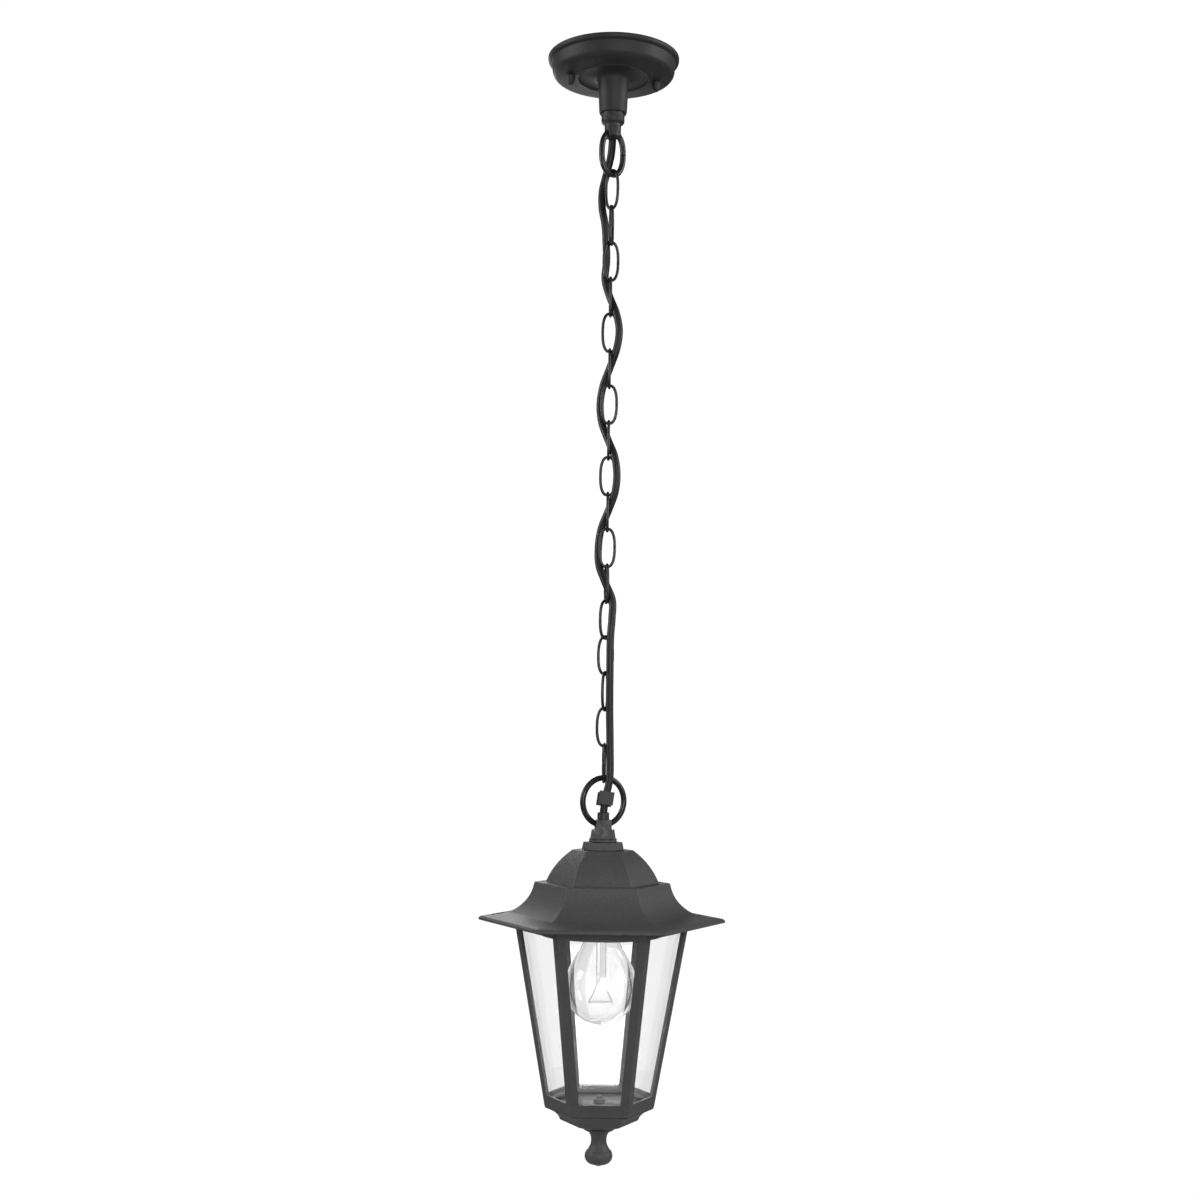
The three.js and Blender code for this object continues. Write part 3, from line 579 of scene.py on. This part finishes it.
ring_width = 44
ring_turn = 30
ring = bmesh.new()
bmesh.ops.create_circle(ring, cap_ends=False, segments=24, radius=ring_wire / 2 * mm)
ring_middle = Vector((0, 0, (top_of("hanging_ring") + foot_of("hanging_ring")) / 2 * mm))
ring_radius = (ring_width - ring_wire) / 2
bmesh.ops.translate(ring, verts=ring.verts, vec=(ring_radius * mm, 0, ring_middle.z))
bmesh.ops.spin(
    ring, geom=ring.verts[:] + ring.edges[:], axis=(0, 1, 0), cent=ring_middle, angle=2 * math.pi,
    steps=96, use_merge=True, use_duplicate=False,
)
bmesh.ops.rotate(
    ring, verts=ring.verts, cent=(0, 0, 0), matrix=Matrix.Rotation(math.radians(ring_turn), 3, "Z")
)
piece("welded_ring", ring, lacquer, "ring", "black_chain", "hanging_ring")

moulding = Finish("black_moulding", Specular_IOR_Level=0.45)
moulding_cloud = moulding.noise(150, 3)
moulding.colour(moulding.mixed(moulding_cloud, grey(0.007), grey(0.015)))
moulding.roughness(0.38 + moulding_cloud * 0.18)
moulding.grain(moulding.noise(1600, 2), 0.05)

softened("grip_front_half", "cord_grip_front", 0.5, moulding, "ring", "black_plastic")
softened("grip_back_half", "cord_grip_back", 0.5, moulding, "ring", "black_plastic")


# ---- Hanger, cord bush, washer and collar ----
# The hanger is a cast block with a lug that the ring passes through. Its spigot goes down through washer,
# six-sided collar and roof, and a nut inside holds them together. The cord enters through a plastic bush.

softened("hanger_casting", "hanger", 0.5, charcoal, "lantern", "powder_coat")
softened("plastic_bush", "cord_bush", 0.4, moulding, "lantern", "black_plastic")
softened("washer_under_hanger", "roof_washer", 0.4, charcoal, "lantern", "powder_coat")
softened("six_sided_collar", "roof_collar", 0.6, charcoal, "lantern", "powder_coat")


# ---- Roof ----
# One six-sided aluminium casting: a domed cap, a flat ledge, and a skirt that sweeps out to a wide thin
# eave with a raised band round its edge.

ledge = roof_top - 27
eave = 102.5
band = 11.4
roof_wall = 2.4  # the casting's wall
dome = smooth_outline(
    [(25.6, roof_top), (34.9, roof_top - 8.1), (42.6, roof_top - 18), (47.3, ledge)], 2.2
)
skirt = smooth_outline([
    (56.4, ledge), (58.1, ledge - 6), (60.5, ledge - 11.2), (64.2, ledge - 16.2), (69.6, ledge - 21),
    (75.8, ledge - 24.6), (82, ledge - 26.6), (eave - band, ledge - 28.4),
], 2.2)
underside = [
    (eave, ledge - 32.3), (eave - 6, ledge - 31.7), (80.8, ledge - 29.2), (73.8, ledge - 27.2),
    (67.2, ledge - 23), (61.6, ledge - 17.8), (57.9, ledge - 12.4), (54, ledge - 5), (54, ledge - roof_wall),
    (44.9, ledge - roof_wall), (39.8, roof_top - 18.5), (32.1, roof_top - 8.6), (26, roof_top - 2.9),
    (21, roof_top - roof_wall), (0, roof_top - roof_wall),
]
roof_outline = [
    (0, roof_top), *dome, *skirt, (eave - band + 0.8, ledge - 27.6), (eave - 1.6, ledge - 29.0),
    (eave - 1.4, ledge - 29.7), (eave, ledge - 29.9), *underside,
]
roof = turned(roof_outline, 0.7, 6, 0.9)
even_shading(piece("roof_casting", roof, charcoal, "lantern", "powder_coat", "roof"))


# ---- Cage ----
# One casting of six angle posts between a top and a bottom rail. It tapers towards the foot. Its top flange
# is screwed to three bosses inside the roof, and a ledge inside its foot holds up the glass.

softened("cage_casting", "cage", 0.45, charcoal, "lantern", "powder_coat")


# ---- Glass panes ----
# Six tapered panes of clear 2 mm float glass, a little dusty. They stand on the cage's ledge, behind its
# posts.


def clear_glass(name, haze):
    """Clear glass that lets light through to what is behind it, with faint marks in its gloss."""
    glass = Finish(name, Transmission_Weight=1.0, IOR=1.45)
    glass.colour(grey(0.97))
    marks = glass.between(glass.noise(26, 4), 0.4, 0.8)
    glass.roughness(0.005 + marks * haze)
    lets_light_by = glass.node("LightPath", output="Is Shadow Ray")
    through = glass.node("BsdfTransparent", None, {"Color": grey(0.97)})
    seen = Value(glass, glass.surface.outputs[0])
    whole = glass.node("MixShader", None, {0: lets_light_by, 1: seen, 2: through})
    glass.feed(glass.tree.nodes["Material Output"].inputs["Surface"], whole)
    return glass


pane_glass = clear_glass("clear_pane", 0.035)
dress(pane_glass, *[f"glass_pane_{n}" for n in range(1, 7)])


# ---- Lampholder plate ----
# A dished pan of 1.5 mm steel in the same powder coat, held up with the cage by the roof's three screws.

plate_top = top_of("lampholder_plate")
plate_floor = foot_of("lampholder_plate")
pan = turned([
    (57, plate_top), (57, plate_top - 1.5), (51, plate_top - 1.5), (49.5, plate_floor), (20, plate_floor),
    (20, plate_floor + 1.5), (48.2, plate_floor + 1.5), (49.6, plate_top),
], 0.6, 120)
piece("dished_plate", pan, charcoal, "lantern", "painted_steel", "lampholder_plate")


# ---- Lampholder ----
# A black moulded E27 holder: a cap round the cord, and a skirt with a flange that clamps it to the plate.
# Inside are a white contact block and a sprung contact.

cord_way = cord_radius + 0.4
holder_split = foot_of("lampholder_cap") - 0.3
holder_foot = foot_of("lampholder_skirt")
cap = turned([
    (cord_way, holder_top + 3), (cord_way + 3, holder_top + 3), (cord_way + 3.4, holder_top),
    *smooth_outline([(15, holder_top - 3), (17.2, holder_top - 5.2), (18, holder_top - 8)], 1.0),
    (18, holder_split + 0.3), (16.2, holder_split + 0.3), (16.2, holder_top - 8.6), (14, holder_top - 4.8),
    (cord_way, holder_top - 2),
], 0.4, 72)
piece("holder_cap", cap, moulding, "lantern", "black_plastic", "lampholder_cap")
skirt_ribs = []
for rib in range(5):
    height = holder_split - 4 - rib * 4.4
    skirt_ribs += [(18, height), (17.3, height - 0.7), (17.3, height - 2.1), (18, height - 2.8)]
holder_skirt = turned([
    (18, holder_split), *skirt_ribs, (18, holder_foot + 3.6), (22.6, holder_foot + 2.6), (23.4, holder_foot),
    (14.9, holder_foot), (13.5, holder_foot + 3), (13.5, holder_split),
], 0.3, 72)
piece("holder_skirt", holder_skirt, moulding, "lantern", "black_plastic", "lampholder_skirt")


# ---- Bulb ----
# A clear pear-shaped bulb, 60 mm across, hanging cap up: a nickel-plated screw cap, a blown glass envelope,
# and inside it a glass stem that carries the leads and a fine zigzag filament.

nickel = Finish("nickel_brass", Metallic=1.0)
nickel_cloud = nickel.noise(140, 3)
nickel.colour(nickel.mixed(nickel_cloud, grey(0.5, 0.06), grey(0.66, 0.05)))
nickel.roughness(0.2 + nickel_cloud * 0.2)
nickel.grain(nickel.noise(900, 2), 0.02)
dress(nickel, "centre_contact")

bulb_top = top_of("bulb_cap")
cap_foot = foot_of("bulb_cap")
thread = []
for turn in range(5):
    height = bulb_top - 5.4 - turn * 3.6
    thread += [(13.1, height), (12.2, height - 1.8)]
bulb_cap = turned([
    (0, bulb_top), (3.6, bulb_top), (4.4, bulb_top - 1.2), (9.6, bulb_top - 2.6), (12.4, bulb_top - 4.4),
    *smooth_outline(thread, 0.5), (13.1, bulb_top - 23.4), (13.1, cap_foot), (12.6, cap_foot),
    (11.7, bulb_top - 5.6), (0, bulb_top - 4),
], 0.2, 72)
piece("screw_cap", bulb_cap, nickel, "lantern", "nickel_brass", "bulb_cap")

bulb_foot = foot_of("bulb_glass")
widest = bulb_foot + 31
neck = 12.3
envelope = smooth_outline([
    (neck, cap_foot + 12), (neck, cap_foot), (13.4, cap_foot - 7), (17.3, cap_foot - 16.5),
    (23.4, cap_foot - 27), (28.2, cap_foot - 37.5), (30, widest),
], 2.0)
crown_angles = [math.radians(6 * n) for n in range(1, 15)]
crown = [(30 * math.cos(angle), widest - 31 * math.sin(angle)) for angle in crown_angles]
outside = [*envelope, *crown, (0, bulb_foot)]
wall = 0.7
inside = [
    (max(radius - wall, 0), height + (wall if radius < 8 else 0)) for radius, height in reversed(outside)
]
bulb_glass = clear_glass("bulb_envelope", 0.01)
blown = turned([*outside, *inside][::-1], 0, 96)
piece("blown_envelope", blown, bulb_glass, "lantern", "clear_glass", "bulb_glass")
dress(bulb_glass, "bulb_mount")

tungsten = Finish("filament_wire", Metallic=1.0, Roughness=0.35)
tungsten.colour(tungsten.mixed(tungsten.noise(800, 2), grey(0.14), grey(0.3)))
lead_top = top_of("filament") - 0.4
filament_width = 19
filament_drop = 16
zigzag = [
    (share * filament_width, lead_top - filament_drop + (1.2 if n % 2 else 0))
    for n, share in enumerate((-0.5, -0.3, -0.15, 0, 0.15, 0.3, 0.5))
]
filament_points = [(-3, lead_top), (-6, lead_top - 8), *zigzag, (6, lead_top - 8), (3, lead_top)]
filament_route = flowing([Vector((x, 0, z)) * mm for x, z in filament_points], 0.6 * mm)
piece("fine_filament", swept(filament_route, 0.3 * mm, 8), tungsten, "lantern", "filament_wire", "filament")


# ---- Tray, its floor and the finial ----
# The floor is a six-sided plate inside the cage's foot. Under it a stepped six-sided casting closes the
# lantern, and a turned finial, whose stud passes up through both, is held by a small nut on the floor.

floor_top = top_of("tray_floor")
floor_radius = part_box("tray_floor")[1].x / mm
floor_foot = floor_top - 1.6
floor_plate = turned(
    [(0, floor_top), (floor_radius, floor_top), (floor_radius, floor_foot), (0, floor_foot)], 0.3, 6, 0.3
)
even_shading(piece("floor_plate", floor_plate, charcoal, "lantern", "powder_coat", "tray_floor"))

softened("nut_on_floor", "finial_nut", 0.35, charcoal, "lantern", "powder_coat")
strap = bmesh.new()
bmesh.ops.create_cube(strap, size=1)
strap_length = 2 * (floor_radius - 5)
strap_width = 18
strap_thickness = 0.5
strap_size = Vector((strap_length, strap_width, strap_thickness)) * mm
bmesh.ops.scale(strap, verts=strap.verts, vec=strap_size)
bmesh.ops.translate(strap, verts=strap.verts, vec=(0, 0, (floor_top + 0.1) * mm))
bmesh.ops.bevel(
    strap, geom=strap.edges[:], offset=0.2 * mm, affect="EDGES", segments=2, profile=0.5, material=-1
)
piece("floor_strap", strap, charcoal, "lantern", "powder_coat")

tray_top = top_of("base_tray")
tray_foot = foot_of("base_tray")
step = tray_foot + 16.7
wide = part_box("base_tray")[1].x / mm
inner = wide - 3.4
cove = smooth_outline([
    (wide - 5.6, step - 2.8), (wide - 7.2, step - 3.8), (wide - 9.6, step - 5.6), (wide - 11.6, step - 7.8),
    (wide - 12.8, step - 10.6),
], 1.2)
tray_outline = [
    (inner, tray_top), (inner, step), (wide, step), (wide - 0.3, step - 0.9), *cove,
    (wide - 31.8, tray_foot), (0, tray_foot), (0, tray_foot + 2.2), (wide - 32.4, tray_foot + 2.2),
    (wide - 15.2, step - 9.6),
    (wide - 14, step - 7.2), (wide - 12, step - 4.8), (wide - 9, step - 2.4), (inner - 2.2, step - 1.4),
    (inner - 2.2, tray_top),
]
tray = turned(tray_outline, 0.4, 6, 0.6)
even_shading(piece("tray_casting", tray, charcoal, "lantern", "powder_coat", "base_tray"))

seat = tray_foot - 0.3
waist = seat - 10
knob_foot = tray_foot - 32.5
finial = turned([
    (0, top_of("finial")), (2.5, top_of("finial")), (2.5, seat), (13.3, seat), (13, seat - 1),
    *smooth_outline([
        (8.6, seat - 3.2), (6.9, seat - 6.4), (6.4, waist), (6.8, waist - 3.4), (8.2, waist - 6.4),
        (9.4, waist - 8.4),
    ], 0.8),
    *smooth_outline([
        (10.6, waist - 9.4), (11.5, waist - 12.2), (11.4, waist - 14.8), (10, waist - 17.6),
        (7.6, waist - 19.4),
    ], 0.8),
    (6.2, waist - 19.7), (0, knob_foot),
], 0.3, 96)
piece("turned_finial", finial, charcoal, "lantern", "powder_coat", "finial")


# ---- Floor ----
# A pale round floor of painted board, well below the lantern.

board = Finish("pale_board", Roughness=0.8)
board.colour(board.mixed(board.noise(3, 3), grey(0.66), grey(0.7)))
floor_depth = -1.9
disc = bmesh.new()
bmesh.ops.create_circle(disc, cap_ends=True, segments=96, radius=3)
bmesh.ops.translate(disc, verts=disc.verts, vec=(0, 0, floor_depth))
floor_mesh = bpy.data.meshes.new("floor")
disc.to_mesh(floor_mesh)
disc.free()
floor_mesh.materials.append(board.material)
floor = bpy.data.objects.new("floor", floor_mesh)
scene.collection.objects.link(floor)
floor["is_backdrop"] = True


# ---- Light ----
# A white room, seen white but dim as a light, so that black pieces stay black at their edges. A large soft
# light hangs in front, with a tall soft strip high on each side and another large one behind.

scene.view_settings.view_transform = "Standard"
room = bpy.data.worlds.new("white_room")
room.use_nodes = True
room_light = 0.16
room_seen = 1.03
room_nodes = Nodes(room.node_tree)
walls = room.node_tree.nodes["Background"]
walls.inputs["Color"].default_value = grey(1.0)
seen = room_nodes.node("LightPath", output="Is Camera Ray")
through_glass = room_nodes.node("LightPath", output="Is Transmission Ray")
either = room_nodes.node("Math", {"operation": "MAXIMUM"}, {0: seen, 1: through_glass})
levels = {"Value": either, "To Min": room_light, "To Max": room_seen}
room_nodes.feed(walls.inputs["Strength"], room_nodes.node("MapRange", None, levels))
scene.world = room


def soft_light(name, place, aim, width, height, power):
    """A rectangular soft light that faces the aim point."""
    lamp = bpy.data.lights.new(name, "AREA")
    lamp.shape = "RECTANGLE"
    lamp.size = width
    lamp.size_y = height
    lamp.energy = power
    made = bpy.data.objects.new(name, lamp)
    made.location = place
    made.rotation_euler = (Vector(aim) - Vector(place)).to_track_quat("-Z", "Y").to_euler()
    scene.collection.objects.link(made)


lantern_heart = (0, 0, -0.75)
soft_light("front_light", (0.5, -2.4, -0.2), lantern_heart, 1.2, 0.9, 34)
soft_light("left_strip", (-1.7, -0.3, 0.1), lantern_heart, 0.4, 1.1, 24)
soft_light("right_strip", (1.7, -0.2, 0.1), lantern_heart, 0.4, 1.1, 24)
soft_light("back_light", (-0.6, 2.2, 0.0), lantern_heart, 1.2, 0.8, 18)


# ---- Sizes and finish ----
# The box of the finished lantern, with the floor left out, is measured.

low, high_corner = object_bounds()
